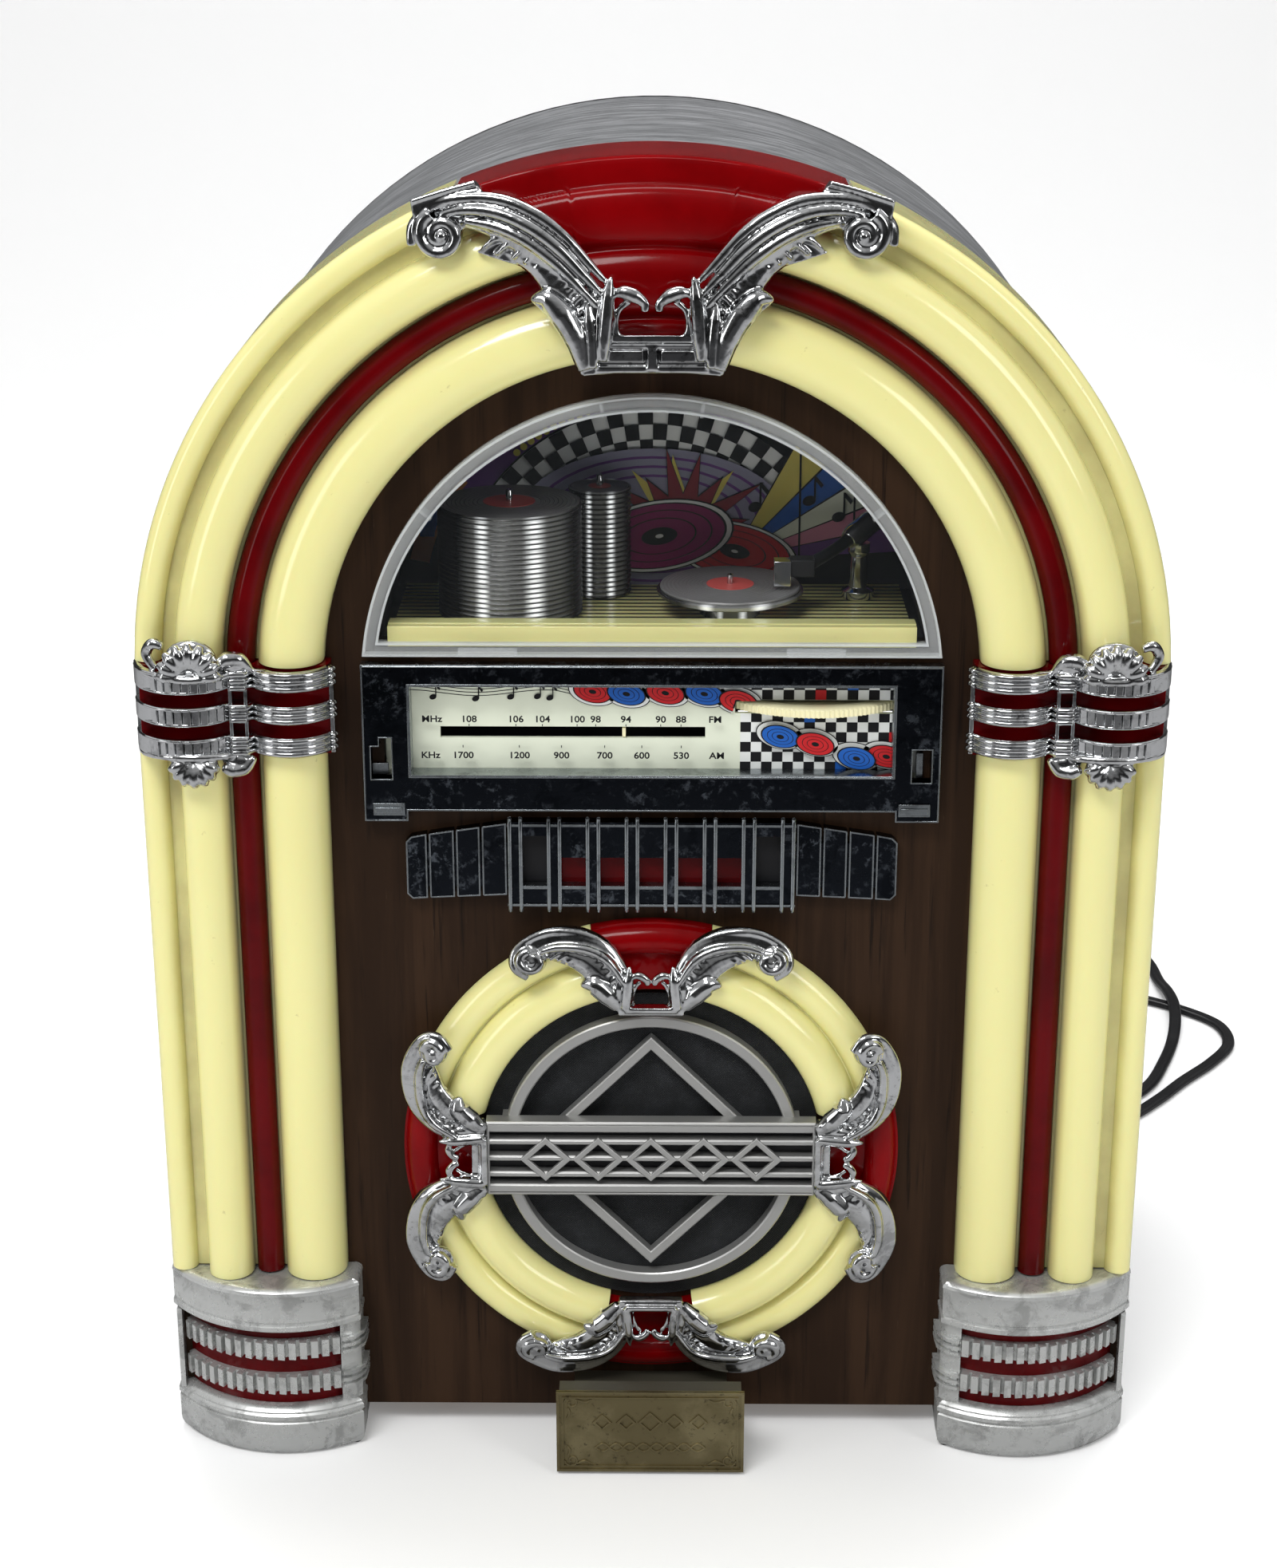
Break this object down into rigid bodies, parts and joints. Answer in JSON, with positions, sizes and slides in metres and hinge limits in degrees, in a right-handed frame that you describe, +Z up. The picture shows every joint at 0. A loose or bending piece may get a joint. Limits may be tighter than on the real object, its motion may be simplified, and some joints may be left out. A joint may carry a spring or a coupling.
{
  "type": "jukebox",
  "caption": "Tabletop jukebox radio: arched case, cream and red front frame, chrome trim, record display, tuning dial, round speaker and side cassette deck.",
  "frame": {"origin": "on the table, below the middle of the case, without its mains lead", "axes": "+Z up, -Y out of the front of the jukebox, +X to the viewer's right"},
  "size_m": [0.392, 0.4426, 0.399],
  "materials": {
    "vinyl_grain": "satin grey-black woodgrain wrap",
    "walnut": "satin dark walnut veneer",
    "fibreboard": "bare fibreboard",
    "black_plastic": "fine moulded texture",
    "screw_steel": "satin",
    "rubber": "matte",
    "cream_plastic": "gloss, slightly yellowed",
    "dark_red_lens": "gloss, dark translucent red",
    "red_lens": "gloss, translucent red",
    "lamp_glass": "clear",
    "chrome": "bright, spotted with age",
    "worn_chrome": "dark, spotted and scuffed",
    "clear_cover": "clear",
    "print_card": "printed",
    "record_silver": "silvered",
    "pointer_cream": "matte",
    "bracket_steel": "zinc plated",
    "capacitor_body": "matte",
    "satin_silver": "satin silver paint",
    "grille_fabric": "black cloth",
    "cone_paper": "pressed paper",
    "plaque_backing": "matte",
    "aged_brass": "aged, brushed",
    "circuit_board": "solder mask",
    "transformer_iron": "varnished laminations",
    "ferrite": "matte",
    "cord_sheath": "satin PVC"
  },
  "bodies": {
    "cabinet": {"cabinet_shell": "vinyl_grain", "front_board": "walnut", "base_board": "fibreboard", "rear_cover": "black_plastic", "rear_cover_screws": "screw_steel", "rear_feet": "rubber", "pilasters": "cream_plastic", "arch_mouldings": "cream_plastic", "red_strips": "dark_red_lens", "crown_crest": "red_lens", "crown_lamps": "lamp_glass", "crown_ornament": "chrome", "band_left": "chrome", "band_right": "chrome", "foot_left": "chrome", "foot_right": "chrome", "trim_lenses": "dark_red_lens", "window_cover": "clear_cover", "display_box": "black_plastic", "display_backdrop": "print_card", "display_ledge": "cream_plastic", "record_stacks": "record_silver", "turntable": "record_silver", "tonearm": "chrome", "dial_bezel": "worn_chrome", "dial_plate": "print_card", "dial_bracket": "bracket_steel", "tuning_capacitor": "capacitor_body", "selector_trim": "worn_chrome", "selector_lens": "dark_red_lens", "speaker_ring": "cream_plastic", "speaker_crests": "red_lens", "speaker_ornaments": "chrome", "speaker_badge": "satin_silver", "grille_cloth": "grille_fabric", "speaker_basket": "bracket_steel", "speaker_cone": "cone_paper", "plaque_block": "plaque_backing", "plaque_plate": "aged_brass", "control_panel": "black_plastic", "control_bracket": "bracket_steel", "deck_frame": "black_plastic", "deck_mechanism": "bracket_steel", "main_board": "circuit_board", "transformer": "transformer_iron", "ferrite_antenna": "ferrite", "strain_relief": "rubber", "cord_lead": "cord_sheath", "cord_coil": "cord_sheath", "plug": "cord_sheath"},
    "tuning_knob": {"tuning_wheel": "cream_plastic"},
    "pointer": {"dial_pointer": "pointer_cream"},
    "volume_knob": {"volume_wheel": "black_plastic"},
    "tone_knob": {"tone_wheel": "black_plastic"},
    "band_slider": {"band_switch": "satin_silver"},
    "function_slider": {"function_switch": "satin_silver"},
    "tape_door": {"cassette_door": "black_plastic"},
    "stop_key": {"key_stop": "satin_silver"},
    "forward_key": {"key_forward": "satin_silver"},
    "play_key": {"key_play": "satin_silver"}
  },
  "joints": [
    {"name": "tuning_wheel_spin", "type": "hinge", "parent": "cabinet", "child": "tuning_knob", "pos_m": [0.0476, -0.0454, 0.241], "axis": [0, 0, 1], "range_deg": [-204, 106]},
    {"name": "pointer_slide", "type": "slide", "parent": "cabinet", "child": "pointer", "axis": [1, 0, 0], "range_m": [-0.043, 0.0225]},
    {"name": "volume_wheel_spin", "type": "hinge", "parent": "cabinet", "child": "volume_knob", "pos_m": [-0.1328, 0, 0.175], "axis": [0, 1, 0], "range_deg": [-135, 135]},
    {"name": "tone_wheel_spin", "type": "hinge", "parent": "cabinet", "child": "tone_knob", "pos_m": [-0.1328, 0.026, 0.175], "axis": [0, 1, 0], "range_deg": [-135, 135]},
    {"name": "band_switch_slide", "type": "slide", "parent": "cabinet", "child": "band_slider", "axis": [0, 1, 0], "range_m": [0, 0.008]},
    {"name": "function_switch_slide", "type": "slide", "parent": "cabinet", "child": "function_slider", "axis": [0, 1, 0], "range_m": [0, 0.008]},
    {"name": "cassette_door_hinge", "type": "hinge", "parent": "cabinet", "child": "tape_door", "pos_m": [0.1465, 0.022, 0.1182], "axis": [0, 1, 0], "range_deg": [0, 35]},
    {"name": "stop_key_press", "type": "slide", "parent": "cabinet", "child": "stop_key", "axis": [-1, 0, 0], "range_m": [0, 0.004], "stiffness_N_per_m": 200},
    {"name": "forward_key_press", "type": "slide", "parent": "cabinet", "child": "forward_key", "axis": [-1, 0, 0], "range_m": [0, 0.004], "stiffness_N_per_m": 200},
    {"name": "play_key_press", "type": "slide", "parent": "cabinet", "child": "play_key", "axis": [-1, 0, 0], "range_m": [0, 0.004], "stiffness_N_per_m": 200}
  ],
  "couplings": [
    {"joint": "pointer_slide", "follows": "tuning_wheel_spin", "m_per_rad": 0.012}
  ]
}
